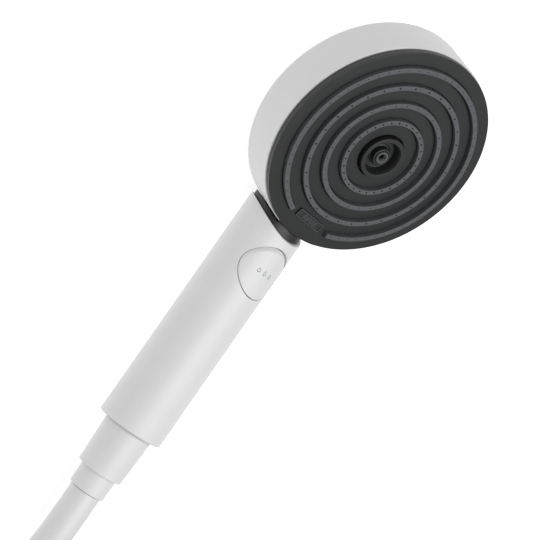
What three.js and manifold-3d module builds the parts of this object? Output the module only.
// Handheld shower head on its hose, lying on its back. Millimetres, +Z up, +X from the head to the hose.
// The handle group's own origin is the point where the head's axis crosses the handle's axis.
import * as THREE from 'three';
import { mergeVertices } from 'three/addons/utils/BufferGeometryUtils.js';
import Module from 'manifold-3d';

const wasm = await Module();
wasm.setup();

// ---------------------------------------------------------------- driving dimensions
const GAP = 0.3; // clearance between pieces that touch on the real object
const HEAD_SIDES = 40; // facets of the head's large rings
const BODY_SIDES = 32; // facets of the handle and the parts around its axis
const INNER_SIDES = 20; // facets of the cartridge and the hose ends
const SMALL_SIDES = 16; // facets of seals, screws and valve parts

const HEAD_R = 52.5; // head housing at its front lip
const HEAD_DRAFT = 0.5; // the housing widens this much towards its back
const HEAD_DEPTH = 21.0; // lip to back
const HEAD_WALL = 2.4;
const BACK_FILLET = 2.0;
const HEAD_TILT = THREE.MathUtils.degToRad(19.7); // between the face and the handle's axis
const HEAD_LIFT = 36.1; // from the handle's axis to the strip tops, along the head's axis

const FACE_EDGE = 0.63; // how far the dark face disc stays inside the housing's edge
const FACE_PROUD = 3.2; // how far the disc stands above the housing's lip
const FACE_BACK = 4.4; // disc thickness over its chambers
const STRIP_COUNT = 4;
const STRIP_FIRST_R = 18.35;
const STRIP_EDGE = 7.51; // from the outermost strip to the disc's edge
const STRIP_WIDTH = 2.3;
const STRIP_PROUD = 2.1;
const STRIP_SEAT = 1.4; // how deep a strip sits in its groove
const STRIP_BREAK = THREE.MathUtils.degToRad(17); // half of the outer strip's gap, for the badge plate
const BADGE_LENGTH = 17.0;
const BADGE_WIDTH = 4.4;
const BADGE_THICK = 0.6;
const CENTRE_RIM_R = 10.35;
const CENTRE_RIM_WALL = 1.85;
const CENTRE_RIM_PROUD = 0.3; // above the strip tops
const CENTRE_BOWL_DEPTH = 3.6; // bowl floor below the strip tops
const CENTRE_NOZZLE_R = 5.0;
const CENTRE_TIP_R = 2.9;
const CENTRE_TIP_BORE = 1.6;
const CENTRE_TIP_Z = -0.4; // top of the soft tip
const CENTRE_TIP_THICK = 1.8;
const CENTRE_NOZZLE_Z = -1.1; // top of the nozzle round it
const CENTRE_NOZZLE_RIM = 0.9;
const CENTRE_BOWL_TAPER = 1.2;
const CENTRE_SEAT = 1.0; // from the bowl's floor to the back of the centre pieces

const DISTRIBUTOR_THICK = 3.0;
const DISTRIBUTOR_HOLE_R = 1.5;
const DISTRIBUTOR_RINGS = [[4, 5], [6, 14], [8, 31]]; // count of holes and radius of each ring
const WATERWAY_WALL = 3.0; // between the waterway plate and the clamp bosses
const WATERWAY_CHANNEL = 12.0;
const WATERWAY_CHANNEL_DEPTH = 4.0;
const SPIGOT_SEAL_INSET = 6.0; // from the waterway plate's edge
const SEAL_INSET = 2.8; // middle of the face seal, from the housing's wall
const SEAL_SECTION = 1.9; // width of every O-ring groove
const SEAL_GAP = 0.4; // what an O-ring leaves free in its groove
const WATERWAY_WELL_R = 22.0; // outside of the ring channel in its front
const SPIGOT_R = 5.7;
const SPIGOT_BORE = 4.0;
const SOCKET_PLAY = 0.5;
const SPIGOT_REACH = 32.0; // how far the neck's spigot goes into the head, from the wall
const CLAMP_SCREWS = 3;
const CLAMP_INSET = 7.6; // screws, from the housing's wall
const CLAMP_BOSS_R = 3.4;
const SCREW_HEAD_R = 2.9;
const SCREW_HEAD_HIGH = 1.6;
const SCREW_R = 1.4;
const SCREW_LENGTH = 8.5;
const SCREW_SUNK = 0.1;

const HANDLE_R = 15.81;
const HANDLE_WALL = 2.5;
const CORE_PLAY = 0.4; // of the pieces that slide into the handle, on the radius
const HANDLE_LENGTH = 116.3; // from the saddle on the head's side to the handle's lower end
const HANDLE_CHAMFER = 0.6;
const HANDLE_LIP = 1.8; // thickness of the lip that closes the lower end round the thread
const NECK_BAND = 2.7; // width of the dark neck that shows between head and handle
const NECK_INSET = 1.31; // the neck is this much slimmer than the handle, on the radius
const NECK_FLARE = 12.0; // how far its collar draws back from the head, 40 mm below the head's back

const BUTTON_PLACE = 26.1; // from the saddle to the button's middle
const BUTTON_R = 12.35;
const BUTTON_SKIRT = 3.4; // how far the cap's sides reach below the handle's surface
const BUTTON_TRAVEL = 2.5;
const BUTTON_WALL = 2.2;
const BUTTON_PROUD = 0.1;
const STEM_R = 3.0;
const STEM_ABOVE_ROTOR = 0.2;
const SPRING_R = 5.5;
const SPRING_WIRE = 0.9;
const CARTRIDGE_R = 9.8;
const CARTRIDGE_WALL = 1.4;
const LID_THICK = 2.4;
const ROTOR_THICK = 3.8;
const ROTOR_PORTS = 3; // one for each kind of spray
const ROTOR_SEAL_THICK = 1.2;
const DUCT_R = 5.2;
const DUCT_BORE = 3.8;
const DUCT_FLANGE = 12.7; // length of the duct's flange for the inlet
const DUCT_CHAMBER = 5.0; // depth of the open space in it, for the check valve's stem
const INLET_SEAL_PLACE = 5.0;
const OUTLET_R = 7.8; // plug of the pipe from the cartridge into the neck
const OUTLET_REACH = 5.1; // of the plug into the neck
const OUTLET_SEAL_DEPTH = 2.6;
const BUTTON_CLEAR = 0.4; // between the button's skirt and the plug beside it
const PLUG_STUB = 0.9; // of the plug that shows behind the neck
const PORT_R = 1.2;

const THREAD_R = 9.9; // G1/2, drawn plain at its pitch diameter
const THREAD_LENGTH = 12.0;
const THREAD_CHAMFER = 0.8;
const THREAD_PLAY = 0.35; // between the thread and a nut's bore, on the radius
const NIPPLE_FLANGE = 9.0; // the nipple's part inside the handle
const NIPPLE_BORE = 7.6;
const WASHER_THICK = 2.0;
const WASHER_PLAY = 0.3; // a washer is this much slimmer than the thread, on the radius
const WASHER_BORE = 4.5;
const VALVE_WALL = 1.9;
const VALVE_LENGTH = 12.0;
const VALVE_END_WALL = 1.4;
const VALVE_WINDOW_R = 1.1;
const VALVE_WINDOWS = 4;
const VALVE_SPRING_WIRE = 0.6;
const POPPET_R = 4.9;
const POPPET_THICK = 1.6;
const POPPET_STEM_R = 1.2;
const LIMITER_THICK = 4.0;
const LIMITER_BORE = 3.0;

const CONE_WALL = 1.55; // of the cone nut at its mouth
const CONE_TAPER = 0.8; // the nut is this much slimmer at its lower end, on the radius
const CONE_CHAMFER = 0.5;
const CONE_LENGTH = 23.0;
const FERRULE_R = 8.75;
const FERRULE_LENGTH = 10.0;
const FERRULE_CHAMFER = 0.7;
const TAIL_FLANGE = 2.0;
const TAIL_R = 5.6;
const TAIL_BORE = 4.0;
const NUT_WALL = 1.75; // union nut on the far end
const NUT_CHAMFER = 0.6;
const NUT_LENGTH = 16.4;
const NUT_FLOOR = 2.4;

const HOSE_R = 7.6;
const COIL_R = 80.6; // to the middle of the turns
const COIL_LAYER = 15.4; // one turn above the next
const COIL_EDGE = 2.5; // chamfer of the coil's outer shape
const LEAD_RUN = 103.14; // from the hose's start to the middle of the coil, along the handle's axis
const FLOOR_GAP = 0.1; // the hose clears the resting surface by this
const COIL_END = THREE.MathUtils.degToRad(269); // where the top turn ends, just short of the far fitting
const END_RISE = THREE.MathUtils.degToRad(40); // the top turn rises over this last part
const END_POINTS = 57; // points along the top turn
const END_STEPS = 16;
const HOSE_SIDES = 10;
const LEAD_STEPS = 14;
const LEAD_CUT = 20; // half the height of the shape that keeps the lead out of the coil
const COIL_CLIMB = THREE.MathUtils.degToRad(-15); // where a turn has climbed onto the one below

// ---------------------------------------------------------------- sizes that follow
const HEAD_BACK_R = HEAD_R + HEAD_DRAFT;
const HEAD_IN_R = HEAD_R - HEAD_WALL;
const FACE_R = HEAD_R - FACE_EDGE;
const STRIP_PITCH = (FACE_R - STRIP_EDGE - STRIP_FIRST_R) / (STRIP_COUNT - 1);
const SEAL_R = HEAD_IN_R - SEAL_INSET;
const CLAMP_CIRCLE_R = HEAD_IN_R - CLAMP_INSET;
const WATERWAY_R = CLAMP_CIRCLE_R - CLAMP_BOSS_R - WATERWAY_WALL;
const FACE_Z = -STRIP_PROUD; // heights in the head count from the strip tops
const LIP_Z = FACE_Z - FACE_PROUD;
const BACK_Z = LIP_Z - HEAD_DEPTH;
const FLOOR_Z = BACK_Z + HEAD_WALL; // inside of the housing's back
const PLATE_BACK_Z = FACE_Z - FACE_BACK;
const DISTRIBUTOR_Z = PLATE_BACK_Z - GAP;
const DISTRIBUTOR_BACK_Z = DISTRIBUTOR_Z - DISTRIBUTOR_THICK;
const SCREW_TOP_Z = DISTRIBUTOR_Z - SCREW_SUNK;
const CENTRE_FLOOR_Z = -CENTRE_BOWL_DEPTH - CENTRE_SEAT;
const WATERWAY_Z = DISTRIBUTOR_BACK_Z - GAP;
const WATERWAY_BACK_Z = FLOOR_Z + GAP;
const SPIGOT_Z = (WATERWAY_Z + WATERWAY_BACK_Z) / 2;
const SOCKET_R = SPIGOT_R + SOCKET_PLAY;
const SADDLE_R = HEAD_BACK_R + NECK_BAND; // the handle starts this far from the head's axis
const TUBE_FROM = HEAD_BACK_R - 23; // tubes start inside the head and are cut back to its wall
const NECK_R = HANDLE_R - NECK_INSET;
const HANDLE_END = SADDLE_R + HANDLE_LENGTH; // places along the handle count from the head's axis
const BUTTON_X = SADDLE_R + BUTTON_PLACE;
const HANDLE_IN_R = HANDLE_R - HANDLE_WALL;
const CORE_R = HANDLE_IN_R - CORE_PLAY;
const PLUG_END = BUTTON_X - BUTTON_R - BUTTON_CLEAR;
const NECK_TAIL = PLUG_END - PLUG_STUB; // where the neck ends inside the handle
const BUTTON_LOW_Z = Math.sqrt(HANDLE_R ** 2 - BUTTON_R ** 2) - BUTTON_SKIRT;
const CARTRIDGE_TOP = BUTTON_LOW_Z - BUTTON_TRAVEL - 2 * GAP;
const CARTRIDGE_LOW = -Math.sqrt(CORE_R ** 2 - CARTRIDGE_R ** 2);
const SPIGOT_SEAL_X = WATERWAY_R - SPIGOT_SEAL_INSET;
const CARTRIDGE_IN_R = CARTRIDGE_R - CARTRIDGE_WALL;
const CARTRIDGE_FLOOR = CARTRIDGE_LOW + CARTRIDGE_WALL;
const ROTOR_Z = CARTRIDGE_FLOOR + 2 * GAP + ROTOR_SEAL_THICK;
const STEM_LOW_Z = ROTOR_Z + ROTOR_THICK + STEM_ABOVE_ROTOR;
const DUCT_Z = (CARTRIDGE_LOW + CARTRIDGE_TOP) / 2;
const NIPPLE_FLANGE_X = HANDLE_END - NIPPLE_FLANGE;
const NIPPLE_END = HANDLE_END + THREAD_LENGTH;
const DUCT_END = NIPPLE_FLANGE_X - GAP;
const DUCT_FLANGE_X = DUCT_END - DUCT_FLANGE;
const HANDLE_LIP_R = THREAD_R + CORE_PLAY;
const DUCT_X = BUTTON_X + CARTRIDGE_R + GAP;
const OUTLET_END = BUTTON_X - CARTRIDGE_R - GAP;
const OUTLET_X = NECK_TAIL - OUTLET_REACH;
const OUTLET_SEAL_X = NECK_TAIL - OUTLET_SEAL_DEPTH;
const INLET_SEAL_X = DUCT_FLANGE_X + INLET_SEAL_PLACE;
const VALVE_X = NIPPLE_FLANGE_X + 1;
const LIMITER_X = VALVE_X + VALVE_LENGTH + GAP;
const NUT_BORE = THREAD_R + THREAD_PLAY;
const NUT_R = NUT_BORE + NUT_WALL;
const WASHER_R = THREAD_R - WASHER_PLAY;
const CONE_TOP_R = NUT_BORE + CONE_WALL;
const CONE_LOW_R = CONE_TOP_R - CONE_TAPER;
const SLEEVE_HOLE = FERRULE_R + GAP; // a nut slides over its ferrule
const TAIL_X = NIPPLE_END + WASHER_THICK + 2 * GAP; // flange of the hose tail in the cone nut
const CONE_X = HANDLE_END + GAP;
const CONE_END = CONE_X + CONE_LENGTH;
const FERRULE_X = CONE_END + GAP;
const FERRULE_END = FERRULE_X + FERRULE_LENGTH;
const HOSE_START = FERRULE_END + GAP;
const COIL_X = HOSE_START + LEAD_RUN;
const HOSE_Z = HOSE_R + FLOOR_GAP - HANDLE_R; // hose centre on the resting surface
const COIL_OUT_R = COIL_R + HOSE_R;
const COIL_IN_R = COIL_R - HOSE_R;
const COIL_TOP_Z = HOSE_Z + COIL_LAYER + HOSE_R;
const FAR_Z = COIL_TOP_Z + NUT_R + GAP; // axis of the far fitting, lying on the coil
const FAR_X = COIL_X - COIL_R;
const FAR_Y = COIL_R;
const HEAD_FAR_X = (HEAD_LIFT + BACK_Z + BACK_FILLET) * Math.sin(HEAD_TILT)
  - HEAD_BACK_R * Math.cos(HEAD_TILT);
const MIDDLE_X = (HEAD_FAR_X + FERRULE_END) / 2;

// ---------------------------------------------------------------- materials
const finish = (color, roughness, metalness = 0) => () =>
  new THREE.MeshStandardMaterial({ color, roughness, metalness });
const whitePlastic = finish(0xdedede, 0.55);
const darkPlastic = finish(0x38393b, 0.5);
const innerPlastic = finish(0xb9bbb8, 0.5);
const greySilicone = finish(0x5b5d60, 0.65);
const blackRubber = finish(0x1d1d1e, 0.8);
const redRubber = finish(0x8c2f28, 0.75);
const steel = finish(0xb4b6b8, 0.35, 1);
const brass = finish(0xc2a468, 0.35, 1);
const hosePlastic = finish(0xd6d6d6, 0.45);

// ---------------------------------------------------------------- shape helpers
// Merges shared corners and leaves out the flat triangles that a lathe makes on its axis.
function welded(geometry) {
  geometry.deleteAttribute('normal');
  geometry.deleteAttribute('uv');
  const merged = mergeVertices(geometry, 1e-4);
  const corners = Array.from(merged.index.array);
  const kept = [];
  for (let i = 0; i < corners.length; i += 3) {
    const [a, b, c] = corners.slice(i, i + 3);
    if (a !== b && b !== c && c !== a) kept.push(a, b, c);
  }
  merged.setIndex(kept);
  return merged;
}

// A turned piece about +Z from (radius, height) points, which start and end on the axis or form a ring.
function turned(outline, sides = BODY_SIDES) {
  const points = outline.map(([radius, height]) => new THREE.Vector2(radius, height));
  if (THREE.ShapeUtils.area(points) < 0) points.reverse();
  const onAxis = points[0].x === 0 && points.at(-1).x === 0;
  if (!onAxis) points.push(points[0].clone());
  return welded(new THREE.LatheGeometry(points, sides).rotateX(Math.PI / 2));
}

const disc = (radius, low, high, sides) =>
  turned([[0, low], [radius, low], [radius, high], [0, high]], sides);
const ring = (inner, outer, low, high, sides) =>
  turned([[inner, low], [outer, low], [outer, high], [inner, high]], sides);
const alongX = (geometry) => geometry.rotateY(Math.PI / 2).rotateX(Math.PI); // +Z to +X, facets kept on Z

// An O-ring or a wire ring about +Z at the given height.
function hoop(radius, section, height, sides, facets = 4) {
  const outline = [];
  for (let i = 0; i < facets; i++) {
    const turn = (i / facets) * 2 * Math.PI;
    outline.push([radius + (section / 2) * Math.cos(turn), height + (section / 2) * Math.sin(turn)]);
  }
  return turned(outline, sides);
}

// An O-ring in a groove half a section deep on a shaft, clear of the groove's floor and of the bore.
function shaftSeal(shaft, bore, height, sides) {
  const floor = shaft - SEAL_SECTION / 2;
  return hoop((floor + bore) / 2, bore - floor - SEAL_GAP, height, sides);
}

function solid(geometry) {
  const triVerts = new Uint32Array(geometry.index.array);
  const vertProperties = new Float32Array(geometry.getAttribute('position').array);
  return new wasm.Manifold(new wasm.Mesh({ numProp: 3, vertProperties, triVerts }));
}

function surface(body) {
  const mesh = body.getMesh();
  const geometry = new THREE.BufferGeometry();
  geometry.setAttribute('position', new THREE.BufferAttribute(new Float32Array(mesh.vertProperties), 3));
  geometry.setIndex(Array.from(mesh.triVerts));
  return geometry;
}

const joined = (first, ...others) =>
  surface(others.reduce((body, other) => body.add(solid(other)), solid(first)));
const cut = (first, ...others) =>
  surface(others.reduce((body, other) => body.subtract(solid(other)), solid(first)));
const common = (first, ...others) =>
  surface(others.reduce((body, other) => body.intersect(solid(other)), solid(first)));

// A plain tube along a line of points; the flat ends are square to the line.
function tube(points, radius, sides, steps) {
  const section = new THREE.Shape();
  for (let i = 0; i < sides; i++) {
    const turn = ((i + 0.5) / sides) * 2 * Math.PI;
    const [x, y] = [radius * Math.cos(turn), radius * Math.sin(turn)];
    if (i === 0) section.moveTo(x, y);
    else section.lineTo(x, y);
  }
  section.closePath();
  const path = new THREE.CatmullRomCurve3(points.map((p) => new THREE.Vector3(...p)));
  return welded(new THREE.ExtrudeGeometry(section, { steps, bevelEnabled: false, extrudePath: path }));
}

// A compression spring about +Z, open at both ends.
function spring(radius, wire, low, high, turns, stepsPerTurn = 8) {
  const points = [];
  const count = turns * stepsPerTurn;
  for (let i = 0; i <= count; i++) {
    const turn = (i / stepsPerTurn) * 2 * Math.PI;
    const height = low + wire + ((high - low - 2 * wire) * i) / count;
    points.push([radius * Math.cos(turn), radius * Math.sin(turn), height]);
  }
  return tube(points, wire / 2, 5, count);
}

// A flat piece from a 2-D outline, between two heights.
function slab(shape, low, high, curveSegments = 12) {
  const depth = high - low;
  return welded(new THREE.ExtrudeGeometry(shape, { depth, bevelEnabled: false, curveSegments })
    .translate(0, 0, low));
}

// A sector of a flat ring, from one angle to another, counter-clockwise from +X.
function sector(inner, outer, from, to) {
  const shape = new THREE.Shape();
  shape.absarc(0, 0, outer, from, to, false);
  shape.absarc(0, 0, inner, to, from, true);
  shape.closePath();
  return shape;
}

const model = new THREE.Group();
const handle = new THREE.Group();
const head = new THREE.Group();
handle.position.set(-MIDDLE_X, 0, HANDLE_R);
head.position.set(HEAD_LIFT * Math.sin(HEAD_TILT), 0, HEAD_LIFT * Math.cos(HEAD_TILT));
head.rotation.y = HEAD_TILT;
model.add(handle);
handle.add(head);
head.updateMatrix();
const inHandle = (geometry) => geometry.applyMatrix4(head.matrix); // head's coordinates to the handle's

function add(group, name, geometry, material) {
  const mesh = new THREE.Mesh(geometry, material());
  mesh.name = name;
  group.add(mesh);
}

// ---------------------------------------------------------------- head
// Flat discs about the head's axis, facing +Z. The handle side is +X.

function headHousing() {
  const cup = turned([
    [0, BACK_Z], [HEAD_BACK_R - BACK_FILLET, BACK_Z],
    [HEAD_BACK_R - 0.3 * BACK_FILLET, BACK_Z + 0.3 * BACK_FILLET],
    [HEAD_BACK_R, BACK_Z + BACK_FILLET], [HEAD_R, LIP_Z],
    [HEAD_IN_R, LIP_Z], [HEAD_IN_R, FLOOR_Z], [0, FLOOR_Z],
  ], HEAD_SIDES);
  const neckHole = alongX(disc(SOCKET_R, HEAD_IN_R - 2, HEAD_BACK_R + 2, SMALL_SIDES))
    .translate(0, 0, SPIGOT_Z);
  let body = solid(cup);
  for (const [x, y] of clampPlaces()) {
    const boss = disc(CLAMP_BOSS_R, FLOOR_Z - 0.5, DISTRIBUTOR_BACK_Z - GAP, 16).translate(x, y, 0);
    body = body.add(solid(boss));
  }
  for (const [x, y] of clampPlaces()) {
    const hole = disc(SCREW_R + GAP, FLOOR_Z + 1, DISTRIBUTOR_BACK_Z, 12).translate(x, y, 0);
    body = body.subtract(solid(hole));
  }
  return surface(body.subtract(solid(neckHole)));
}

function clampPlaces() {
  const places = [];
  for (let i = 0; i < CLAMP_SCREWS; i++) {
    const turn = ((i + 0.5) / CLAMP_SCREWS) * 2 * Math.PI;
    places.push([CLAMP_CIRCLE_R * Math.cos(turn), CLAMP_CIRCLE_R * Math.sin(turn)]);
  }
  return places;
}

const stripRadius = (index) => STRIP_FIRST_R + index * STRIP_PITCH;

function facePlate() {
  const outline = [
    [0, PLATE_BACK_Z], [HEAD_IN_R - GAP, PLATE_BACK_Z], [HEAD_IN_R - GAP, LIP_Z + GAP],
    [FACE_R, LIP_Z + GAP], [FACE_R, FACE_Z],
  ];
  for (let i = STRIP_COUNT - 1; i >= 0; i--) {
    const outer = stripRadius(i) + STRIP_WIDTH / 2 + GAP;
    const inner = stripRadius(i) - STRIP_WIDTH / 2 - GAP;
    const floor = FACE_Z - STRIP_SEAT - GAP;
    outline.push([outer, FACE_Z], [outer, floor], [inner, floor], [inner, FACE_Z]);
  }
  const seat = CENTRE_RIM_R + GAP;
  outline.push([seat, FACE_Z], [seat, CENTRE_FLOOR_Z - GAP], [0, CENTRE_FLOOR_Z - GAP]);
  return turned(outline, HEAD_SIDES);
}

function sprayStrip(index) {
  const inner = stripRadius(index) - STRIP_WIDTH / 2;
  const outer = stripRadius(index) + STRIP_WIDTH / 2;
  const low = FACE_Z - STRIP_SEAT;
  if (index < STRIP_COUNT - 1) return ring(inner, outer, low, 0, HEAD_SIDES);
  return slab(sector(inner, outer, STRIP_BREAK, 2 * Math.PI - STRIP_BREAK), low, 0, HEAD_SIDES / 2);
}

// The badge lies in the outer strip's gap, over the end of that strip's groove.
function badgePlate() {
  const middle = stripRadius(STRIP_COUNT - 1) - STRIP_WIDTH;
  return welded(new THREE.BoxGeometry(BADGE_WIDTH, BADGE_LENGTH, BADGE_THICK)
    .translate(middle, 0, FACE_Z + GAP + BADGE_THICK / 2));
}

// The raised rim and the bowl of the centre jet, one dished piece with an open middle.
function centreBowl() {
  const inner = CENTRE_RIM_R - CENTRE_RIM_WALL;
  return turned([
    [CENTRE_NOZZLE_R + GAP, CENTRE_FLOOR_Z], [CENTRE_RIM_R, CENTRE_FLOOR_Z],
    [CENTRE_RIM_R, CENTRE_RIM_PROUD], [inner, CENTRE_RIM_PROUD],
    [inner - CENTRE_BOWL_TAPER, -CENTRE_BOWL_DEPTH], [CENTRE_NOZZLE_R + GAP, -CENTRE_BOWL_DEPTH],
  ], BODY_SIDES);
}

function centreNozzle() {
  const seat = CENTRE_TIP_R + GAP;
  const seatZ = CENTRE_TIP_Z - CENTRE_TIP_THICK - GAP;
  return turned([
    [CENTRE_TIP_BORE, CENTRE_FLOOR_Z], [CENTRE_NOZZLE_R, CENTRE_FLOOR_Z],
    [CENTRE_NOZZLE_R, -CENTRE_BOWL_DEPTH], [seat + CENTRE_NOZZLE_RIM, CENTRE_NOZZLE_Z],
    [seat, CENTRE_NOZZLE_Z], [seat, seatZ], [CENTRE_TIP_BORE, seatZ],
  ], BODY_SIDES);
}

const centreTip = () => ring(CENTRE_TIP_BORE, CENTRE_TIP_R, CENTRE_TIP_Z - CENTRE_TIP_THICK, CENTRE_TIP_Z,
  SMALL_SIDES);

// Holds the water back behind the face and lets it through three rings of holes.
function distributorPlate() {
  const groove = SEAL_SECTION / 2 + GAP;
  let body = solid(turned([
    [0, DISTRIBUTOR_BACK_Z], [HEAD_IN_R - GAP, DISTRIBUTOR_BACK_Z], [HEAD_IN_R - GAP, DISTRIBUTOR_Z],
    [SEAL_R + groove, DISTRIBUTOR_Z], [SEAL_R + groove, DISTRIBUTOR_Z - SEAL_SECTION],
    [SEAL_R - groove, DISTRIBUTOR_Z - SEAL_SECTION], [SEAL_R - groove, DISTRIBUTOR_Z],
    [0, DISTRIBUTOR_Z],
  ], HEAD_SIDES));
  const through = (radius, x, y, low = DISTRIBUTOR_BACK_Z - 1) =>
    solid(disc(radius, low, DISTRIBUTOR_Z + 1, 6).translate(x, y, 0));
  for (const [count, circle] of DISTRIBUTOR_RINGS) {
    for (let i = 0; i < count; i++) {
      const turn = (i / count) * 2 * Math.PI;
      body = body.subtract(through(DISTRIBUTOR_HOLE_R, circle * Math.cos(turn), circle * Math.sin(turn)));
    }
  }
  for (const [x, y] of clampPlaces()) {
    body = body.subtract(through(SCREW_R + GAP, x, y));
    const counterbore = disc(SCREW_HEAD_R + GAP, SCREW_TOP_Z - SCREW_HEAD_HIGH - GAP, DISTRIBUTOR_Z + 1, 16);
    body = body.subtract(solid(counterbore.translate(x, y, 0)));
  }
  return surface(body);
}

const faceSeal = () => {
  const middle = DISTRIBUTOR_Z - SEAL_SECTION / 2 + GAP / 2;
  return hoop(SEAL_R, SEAL_SECTION - GAP, middle, HEAD_SIDES);
};

function clampScrew([x, y]) {
  const under = SCREW_TOP_Z - SCREW_HEAD_HIGH;
  return turned([
    [0, SCREW_TOP_Z - SCREW_LENGTH], [SCREW_R, SCREW_TOP_Z - SCREW_LENGTH], [SCREW_R, under],
    [SCREW_HEAD_R, under], [SCREW_HEAD_R, SCREW_TOP_Z], [0, SCREW_TOP_Z],
  ], 12).translate(x, y, 0);
}

// Takes the water from the neck's spigot to the middle of the head.
function waterwayPlate() {
  const plate = disc(WATERWAY_R, WATERWAY_BACK_Z, WATERWAY_Z, BODY_SIDES);
  const channel = ring(WATERWAY_WELL_R - WATERWAY_CHANNEL, WATERWAY_WELL_R,
    WATERWAY_Z - WATERWAY_CHANNEL_DEPTH, WATERWAY_Z + 1, BODY_SIDES);
  const socket = alongX(disc(SOCKET_R, WATERWAY_WELL_R - WATERWAY_CHANNEL / 2, WATERWAY_R + 2, SMALL_SIDES));
  return cut(plate, channel, socket.translate(0, 0, SPIGOT_Z));
}

// ---------------------------------------------------------------- neck
// Dark piece between head and handle: a collar that follows the head's wall and the handle's saddle,
// a tail inside the handle and a spigot into the head, with the waterway through it.
function neck() {
  const far = HEAD_BACK_R + 40;
  const clearOfHead = inHandle(turned([
    [FACE_R + GAP, LIP_Z + GAP], [FACE_R + GAP, FACE_Z + 5], [far, FACE_Z + 5], [far, BACK_Z - 40],
    [HEAD_BACK_R + GAP + NECK_FLARE, BACK_Z - 40], [HEAD_BACK_R + GAP, BACK_Z],
    [HEAD_BACK_R + GAP, LIP_Z + GAP],
  ], HEAD_SIDES));
  const upToSaddle = inHandle(disc(SADDLE_R - GAP, BACK_Z - 40, FACE_Z + 5, HEAD_SIDES));
  const collar = common(alongX(disc(NECK_R, TUBE_FROM, NECK_TAIL, BODY_SIDES)), clearOfHead, upToSaddle);
  const tail = common(alongX(disc(CORE_R, TUBE_FROM, NECK_TAIL, BODY_SIDES)), clearOfHead);
  const spigotTo = HEAD_BACK_R + 4;
  const spigotFrom = HEAD_BACK_R - SPIGOT_REACH;
  const spigot = inHandle(alongX(turned([
    [0, spigotFrom], [SPIGOT_R, spigotFrom], [SPIGOT_R, SPIGOT_SEAL_X - SEAL_SECTION / 2],
    [SPIGOT_R - SEAL_SECTION / 2, SPIGOT_SEAL_X - SEAL_SECTION / 2],
    [SPIGOT_R - SEAL_SECTION / 2, SPIGOT_SEAL_X + SEAL_SECTION / 2],
    [SPIGOT_R, SPIGOT_SEAL_X + SEAL_SECTION / 2], [SPIGOT_R, spigotTo], [0, spigotTo],
  ], SMALL_SIDES)).translate(0, 0, SPIGOT_Z));
  const spigotBore = inHandle(alongX(disc(SPIGOT_BORE, spigotFrom - 1, spigotTo + 4, 16))
    .translate(0, 0, SPIGOT_Z));
  const socket = alongX(disc(OUTLET_R + 2 * GAP, OUTLET_X - GAP, NECK_TAIL + 1, SMALL_SIDES));
  return cut(joined(collar, tail, spigot), spigotBore, socket);
}

const spigotSeal = () => alongX(shaftSeal(SPIGOT_R, SOCKET_R, SPIGOT_SEAL_X, SMALL_SIDES))
  .translate(0, 0, SPIGOT_Z);

// ---------------------------------------------------------------- handle
function handleShell() {
  const tube = alongX(turned([
    [HANDLE_IN_R, TUBE_FROM], [HANDLE_R, TUBE_FROM], [HANDLE_R, HANDLE_END - HANDLE_CHAMFER],
    [HANDLE_R - HANDLE_CHAMFER, HANDLE_END],
    [HANDLE_LIP_R, HANDLE_END], [HANDLE_LIP_R, HANDLE_END - HANDLE_LIP],
    [HANDLE_IN_R, HANDLE_END - HANDLE_LIP],
  ], BODY_SIDES));
  const saddle = inHandle(disc(SADDLE_R, BACK_Z - 40, 40, HEAD_SIDES));
  const buttonHole = disc(BUTTON_R + GAP, 0, HANDLE_R + 4, BODY_SIDES).translate(BUTTON_X, 0, 0);
  return cut(tube, saddle, buttonHole);
}

function selectButton() {
  const cap = disc(BUTTON_R, BUTTON_LOW_Z, HANDLE_R + 4, BODY_SIDES).translate(BUTTON_X, 0, 0);
  const reach = [BUTTON_X - BUTTON_R - 2, BUTTON_X + BUTTON_R + 2];
  const skin = alongX(disc(HANDLE_R + BUTTON_PROUD, ...reach, BODY_SIDES));
  const hollow = disc(BUTTON_R - BUTTON_WALL, BUTTON_LOW_Z - 1, HANDLE_R + 4, INNER_SIDES)
    .translate(BUTTON_X, 0, 0);
  const underside = alongX(disc(HANDLE_R - BUTTON_WALL, ...reach, BODY_SIDES));
  return cut(common(cap, skin), common(hollow, underside));
}

const buttonStem = () => disc(STEM_R, STEM_LOW_Z, HANDLE_R - BUTTON_WALL - 2 * GAP, SMALL_SIDES)
  .translate(BUTTON_X, 0, 0);
const buttonSpring = () => spring(SPRING_R, SPRING_WIRE, CARTRIDGE_TOP + GAP,
  HANDLE_R - BUTTON_WALL - 2 * GAP, 4).translate(BUTTON_X, 0, 0);

function cartridgeBody() {
  const cup = turned([
    [0, CARTRIDGE_LOW], [CARTRIDGE_R, CARTRIDGE_LOW], [CARTRIDGE_R, CARTRIDGE_TOP],
    [CARTRIDGE_IN_R, CARTRIDGE_TOP], [CARTRIDGE_IN_R, CARTRIDGE_FLOOR], [0, CARTRIDGE_FLOOR],
  ], INNER_SIDES);
  const inlet = alongX(disc(DUCT_BORE, CARTRIDGE_IN_R - 3, CARTRIDGE_R + 2, 16)).translate(0, 0, DUCT_Z);
  const outlet = inlet.clone().rotateZ(Math.PI);
  return cut(cup, inlet, outlet).translate(BUTTON_X, 0, 0);
}

const cartridgeLid = () => ring(STEM_R + GAP, CARTRIDGE_IN_R - GAP, CARTRIDGE_TOP - LID_THICK, CARTRIDGE_TOP,
  INNER_SIDES).translate(BUTTON_X, 0, 0);

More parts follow.
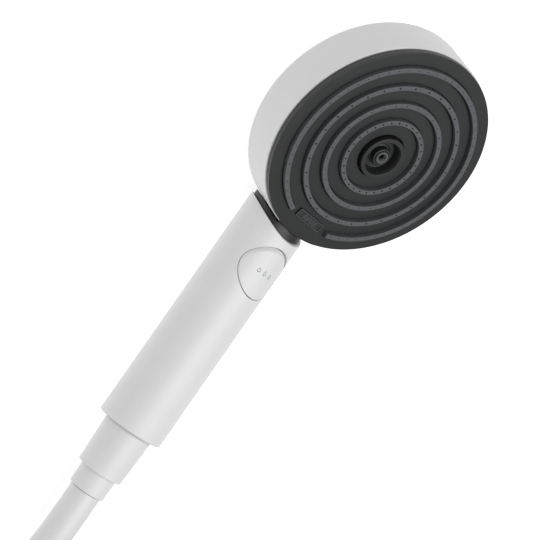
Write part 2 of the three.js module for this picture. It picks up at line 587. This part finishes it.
// The valve disc: an open middle for the stem and three ports in its rim.
function selectorRotor() {
  const body = ring(STEM_R + 2 * GAP, CARTRIDGE_IN_R - 2 * GAP, ROTOR_Z, ROTOR_Z + ROTOR_THICK, INNER_SIDES);
  const ports = [];
  for (let i = 0; i < ROTOR_PORTS; i++) {
    const port = disc(PORT_R, ROTOR_Z - 1, ROTOR_Z + ROTOR_THICK + 1, 8);
    ports.push(port.translate((STEM_R + CARTRIDGE_IN_R) / 2, 0, 0).rotateZ((i / ROTOR_PORTS) * 2 * Math.PI));
  }
  return cut(body, ...ports).translate(BUTTON_X, 0, 0);
}

const rotorSeal = () => ring(STEM_R + 2 * GAP, CARTRIDGE_IN_R - GAP, CARTRIDGE_FLOOR + GAP,
  CARTRIDGE_FLOOR + GAP + ROTOR_SEAL_THICK, INNER_SIDES).translate(BUTTON_X, 0, 0);

// Pipe from the cartridge, below the button's travel, with a wide end that plugs into the neck.
function outletDuct() {
  const seat = OUTLET_R - SEAL_SECTION / 2;
  const from = OUTLET_SEAL_X - SEAL_SECTION / 2;
  const to = OUTLET_SEAL_X + SEAL_SECTION / 2;
  const plug = alongX(turned([
    [0, OUTLET_X], [OUTLET_R, OUTLET_X], [OUTLET_R, from], [seat, from], [seat, to],
    [OUTLET_R, to], [OUTLET_R, PLUG_END], [0, PLUG_END],
  ], SMALL_SIDES));
  const pipe = alongX(disc(DUCT_R, NECK_TAIL + GAP, OUTLET_END, SMALL_SIDES)).translate(0, 0, DUCT_Z);
  const bore = alongX(disc(DUCT_BORE, OUTLET_X - 1, OUTLET_END + 1, SMALL_SIDES)).translate(0, 0, DUCT_Z);
  return cut(joined(plug, pipe), bore);
}

const outletSeal = () => alongX(shaftSeal(OUTLET_R, OUTLET_R + 2 * GAP, OUTLET_SEAL_X, SMALL_SIDES));

// Pipe from the inlet to the cartridge, with a flange that closes the handle's lower end.
function inletDuct() {
  const pipe = alongX(disc(DUCT_R, DUCT_X, DUCT_FLANGE_X + 1, SMALL_SIDES)).translate(0, 0, DUCT_Z);
  const groove = INLET_SEAL_X - SEAL_SECTION / 2;
  const flange = alongX(turned([
    [0, DUCT_FLANGE_X], [CORE_R, DUCT_FLANGE_X], [CORE_R, groove], [CORE_R - SEAL_SECTION / 2, groove],
    [CORE_R - SEAL_SECTION / 2, groove + SEAL_SECTION], [CORE_R, groove + SEAL_SECTION],
    [CORE_R, DUCT_END], [0, DUCT_END],
  ], BODY_SIDES));
  const chamberX = DUCT_END - DUCT_CHAMBER;
  const bore = alongX(disc(DUCT_BORE, DUCT_X - 1, chamberX + 1, 16)).translate(0, 0, DUCT_Z);
  const chamber = alongX(disc(POPPET_R + 2, chamberX, DUCT_END + 1, SMALL_SIDES));
  return cut(joined(pipe, flange), bore, chamber);
}

const inletSeal = () => alongX(shaftSeal(CORE_R, HANDLE_IN_R, INLET_SEAL_X, BODY_SIDES));

function inletNipple() {
  return alongX(turned([
    [NIPPLE_BORE, NIPPLE_FLANGE_X], [CORE_R, NIPPLE_FLANGE_X], [CORE_R, HANDLE_END - HANDLE_LIP - GAP],
    [THREAD_R, HANDLE_END - HANDLE_LIP - GAP], [THREAD_R, NIPPLE_END - THREAD_CHAMFER],
    [THREAD_R - THREAD_CHAMFER, NIPPLE_END],
    [NIPPLE_BORE, NIPPLE_END],
  ], BODY_SIDES));
}

// ---------------------------------------------------------------- check valve and washers
function checkValveBody() {
  const outer = NIPPLE_BORE - GAP;
  const inner = outer - VALVE_WALL;
  const end = VALVE_X + VALVE_LENGTH;
  const guide = POPPET_STEM_R + GAP;
  const seat = POPPET_R - 1;
  const cage = alongX(turned([
    [guide, VALVE_X], [outer, VALVE_X], [outer, end], [seat, end], [seat, end - VALVE_END_WALL],
    [inner, end - VALVE_END_WALL], [inner, VALVE_X + VALVE_END_WALL], [guide, VALVE_X + VALVE_END_WALL],
  ], SMALL_SIDES));
  const windows = [];
  for (let i = 0; i < VALVE_WINDOWS; i++) {
    const window = alongX(disc(VALVE_WINDOW_R, VALVE_X - 1, VALVE_X + VALVE_END_WALL + 1, 8));
    window.translate(0, (guide + inner) / 2, 0);
    windows.push(window.rotateX((i / VALVE_WINDOWS) * 2 * Math.PI));
  }
  return cut(cage, ...windows);
}

function checkValvePoppet() {
  const face = VALVE_X + VALVE_LENGTH - VALVE_END_WALL - GAP;
  return alongX(turned([
    [0, VALVE_X - 1], [POPPET_STEM_R, VALVE_X - 1], [POPPET_STEM_R, face - POPPET_THICK],
    [POPPET_R, face - POPPET_THICK], [POPPET_R, face], [0, face],
  ], SMALL_SIDES));
}

const checkValveSpring = () => alongX(spring(POPPET_STEM_R + 2 * VALVE_SPRING_WIRE, VALVE_SPRING_WIRE,
  VALVE_X + VALVE_END_WALL + GAP, VALVE_X + VALVE_LENGTH - VALVE_END_WALL - 2 * GAP - POPPET_THICK, 4));
const flowLimiter = () => alongX(ring(LIMITER_BORE, NIPPLE_BORE - GAP, LIMITER_X, LIMITER_X + LIMITER_THICK,
  SMALL_SIDES));
const washer = () => ring(WASHER_BORE, WASHER_R, 0, WASHER_THICK, SMALL_SIDES);

// ---------------------------------------------------------------- hose ends
// Both ends are built about +Z from the nut's mouth side: the tail's flange, the sleeve and the collar.
function coneNut() {
  const shoulder = TAIL_X + TAIL_FLANGE + GAP;
  return alongX(turned([
    [NUT_BORE, CONE_X], [CONE_TOP_R - CONE_CHAMFER, CONE_X], [CONE_TOP_R, CONE_X + CONE_CHAMFER],
    [CONE_LOW_R, CONE_END], [SLEEVE_HOLE, CONE_END], [SLEEVE_HOLE, shoulder], [NUT_BORE, shoulder],
  ], BODY_SIDES));
}

function hoseTail(length) {
  return turned([
    [TAIL_BORE, 0], [WASHER_R, 0], [WASHER_R, TAIL_FLANGE], [TAIL_R, TAIL_FLANGE], [TAIL_R, length],
    [TAIL_BORE, length],
  ], SMALL_SIDES);
}

// A crimped sleeve: one end reaches into the nut and the rest shows between nut and hose.
function ferrule(insideNut) {
  const end = insideNut + FERRULE_LENGTH;
  return turned([
    [TAIL_R + GAP, 0], [FERRULE_R, 0], [FERRULE_R, end - FERRULE_CHAMFER],
    [FERRULE_R - FERRULE_CHAMFER, end], [TAIL_R + GAP, end],
  ], INNER_SIDES);
}

function unionNut() {
  return turned([
    [NUT_BORE, 0], [NUT_R - NUT_CHAMFER, 0], [NUT_R, NUT_CHAMFER], [NUT_R, NUT_LENGTH - NUT_CHAMFER],
    [NUT_R - NUT_CHAMFER, NUT_LENGTH],
    [SLEEVE_HOLE, NUT_LENGTH], [SLEEVE_HOLE, NUT_LENGTH - NUT_FLOOR], [NUT_BORE, NUT_LENGTH - NUT_FLOOR],
  ], INNER_SIDES);
}

// ---------------------------------------------------------------- hose
// Straight out of the ferrule, down to the resting surface and along it to the coil.
const LEAD = [
  [HOSE_START, 0, 0], [HOSE_START + 12, 0, 0], [HOSE_START + 24, 0, -0.3], [HOSE_START + 36, 0, -1.4],
  [HOSE_START + 48, 0, -3.6], [HOSE_START + 60, 0, -6.0], [HOSE_START + 72, 0, -7.6],
  [HOSE_START + 84, 0, HOSE_Z], [COIL_X, 0, HOSE_Z],
];

function hoseLead() {
  const keepOut = disc(COIL_OUT_R + GAP, HOSE_Z - LEAD_CUT, HOSE_Z + LEAD_CUT, HEAD_SIDES);
  return cut(tube(LEAD, HOSE_R, HOSE_SIDES, LEAD_STEPS), keepOut.translate(COIL_X, COIL_R, 0));
}

// Outer shape of the coil's two full layers.
function hoseCoil() {
  const low = HOSE_Z - HOSE_R;
  const edge = COIL_EDGE;
  return turned([
    [COIL_IN_R, low + edge], [COIL_IN_R + edge, low], [COIL_OUT_R - edge, low], [COIL_OUT_R, low + edge],
    [COIL_OUT_R, COIL_TOP_Z - edge], [COIL_OUT_R - edge, COIL_TOP_Z], [COIL_IN_R + edge, COIL_TOP_Z],
    [COIL_IN_R, COIL_TOP_Z - edge],
  ], HEAD_SIDES).translate(COIL_X, COIL_R, 0);
}

// The last part turn lies on the layers and rises at its end to the far fitting's axis.
function hoseEnd() {
  const low = HOSE_Z + 2 * COIL_LAYER;
  const points = [];
  for (let i = 0; i <= END_POINTS; i++) {
    const turn = COIL_CLIMB + ((COIL_END - COIL_CLIMB) * i) / END_POINTS;
    const rise = THREE.MathUtils.smoothstep(turn, COIL_END - END_RISE, COIL_END);
    const height = low + (FAR_Z - low) * rise;
    points.push([COIL_X + COIL_R * Math.sin(turn), COIL_R - COIL_R * Math.cos(turn), height]);
  }
  return tube(points, HOSE_R, HOSE_SIDES, END_STEPS);
}

// ---------------------------------------------------------------- assembly
add(head, 'head_housing', headHousing(), whitePlastic);
add(head, 'face_plate', facePlate(), darkPlastic);
for (let i = 0; i < STRIP_COUNT; i++) add(head, `spray_strip_${i + 1}`, sprayStrip(i), greySilicone);
add(head, 'badge_plate', badgePlate(), darkPlastic);
add(head, 'centre_bowl', centreBowl(), darkPlastic);
add(head, 'centre_nozzle', centreNozzle(), darkPlastic);
add(head, 'centre_tip', centreTip(), greySilicone);
add(head, 'distributor_plate', distributorPlate(), innerPlastic);
add(head, 'face_seal', faceSeal(), redRubber);
add(head, 'waterway_plate', waterwayPlate(), innerPlastic);
clampPlaces().forEach((place, i) => add(head, `clamp_screw_${i + 1}`, clampScrew(place), steel));
add(head, 'spigot_seal', spigotSeal(), blackRubber);

add(handle, 'neck', neck(), darkPlastic);
add(handle, 'handle_shell', handleShell(), whitePlastic);
add(handle, 'select_button', selectButton(), whitePlastic);
add(handle, 'button_stem', buttonStem(), innerPlastic);
add(handle, 'button_spring', buttonSpring(), steel);
add(handle, 'cartridge_body', cartridgeBody(), innerPlastic);
add(handle, 'cartridge_lid', cartridgeLid(), innerPlastic);
add(handle, 'selector_rotor', selectorRotor(), darkPlastic);
add(handle, 'rotor_seal', rotorSeal(), blackRubber);
add(handle, 'outlet_duct', outletDuct(), innerPlastic);
add(handle, 'outlet_seal', outletSeal(), blackRubber);
add(handle, 'inlet_duct', inletDuct(), innerPlastic);
add(handle, 'inlet_seal', inletSeal(), blackRubber);
add(handle, 'inlet_nipple', inletNipple(), innerPlastic);
add(handle, 'check_valve_body', checkValveBody(), innerPlastic);
add(handle, 'check_valve_poppet', checkValvePoppet(), innerPlastic);
add(handle, 'check_valve_spring', checkValveSpring(), steel);
add(handle, 'flow_limiter', flowLimiter(), greySilicone);

const nearWasher = alongX(washer()).translate(NIPPLE_END + GAP, 0, 0);
const nearTail = alongX(hoseTail(FERRULE_END - TAIL_X - GAP)).translate(TAIL_X, 0, 0);
const nearSleeve = TAIL_X + TAIL_FLANGE + 2 * GAP;
add(handle, 'filter_washer', nearWasher, blackRubber);
add(handle, 'cone_nut', coneNut(), whitePlastic);
add(handle, 'hose_tail', nearTail, brass);
const nearFerrule = alongX(ferrule(FERRULE_X - nearSleeve)).translate(nearSleeve, 0, 0);
add(handle, 'hose_ferrule', nearFerrule, whitePlastic);
add(handle, 'hose_lead', hoseLead(), hosePlastic);
add(handle, 'hose_coil', hoseCoil(), hosePlastic);
add(handle, 'hose_end', hoseEnd(), hosePlastic);

// The far fitting's own group: +Z runs back along the hose's end, so the nut's mouth faces -Y.
const farEnd = new THREE.Group();
const FAR_SLEEVE = NUT_FLOOR + GAP; // ferrule inside the nut, seen from the nut's hose end
farEnd.position.set(FAR_X, FAR_Y, FAR_Z);
farEnd.rotation.x = -Math.PI / 2;
handle.add(farEnd);
const farCollar = -FERRULE_LENGTH - GAP;
const farNutLow = farCollar - GAP - NUT_LENGTH;
const farTailLow = farCollar - FAR_SLEEVE - 2 * GAP - TAIL_FLANGE;
add(farEnd, 'far_ferrule', ferrule(FAR_SLEEVE).translate(0, 0, farCollar - FAR_SLEEVE), whitePlastic);
add(farEnd, 'far_union_nut', unionNut().translate(0, 0, farNutLow), whitePlastic);
add(farEnd, 'far_tail', hoseTail(-farTailLow - 2 * GAP).translate(0, 0, farTailLow), brass);
add(farEnd, 'far_washer', washer().translate(0, 0, farTailLow - GAP - WASHER_THICK), blackRubber);

export default model;
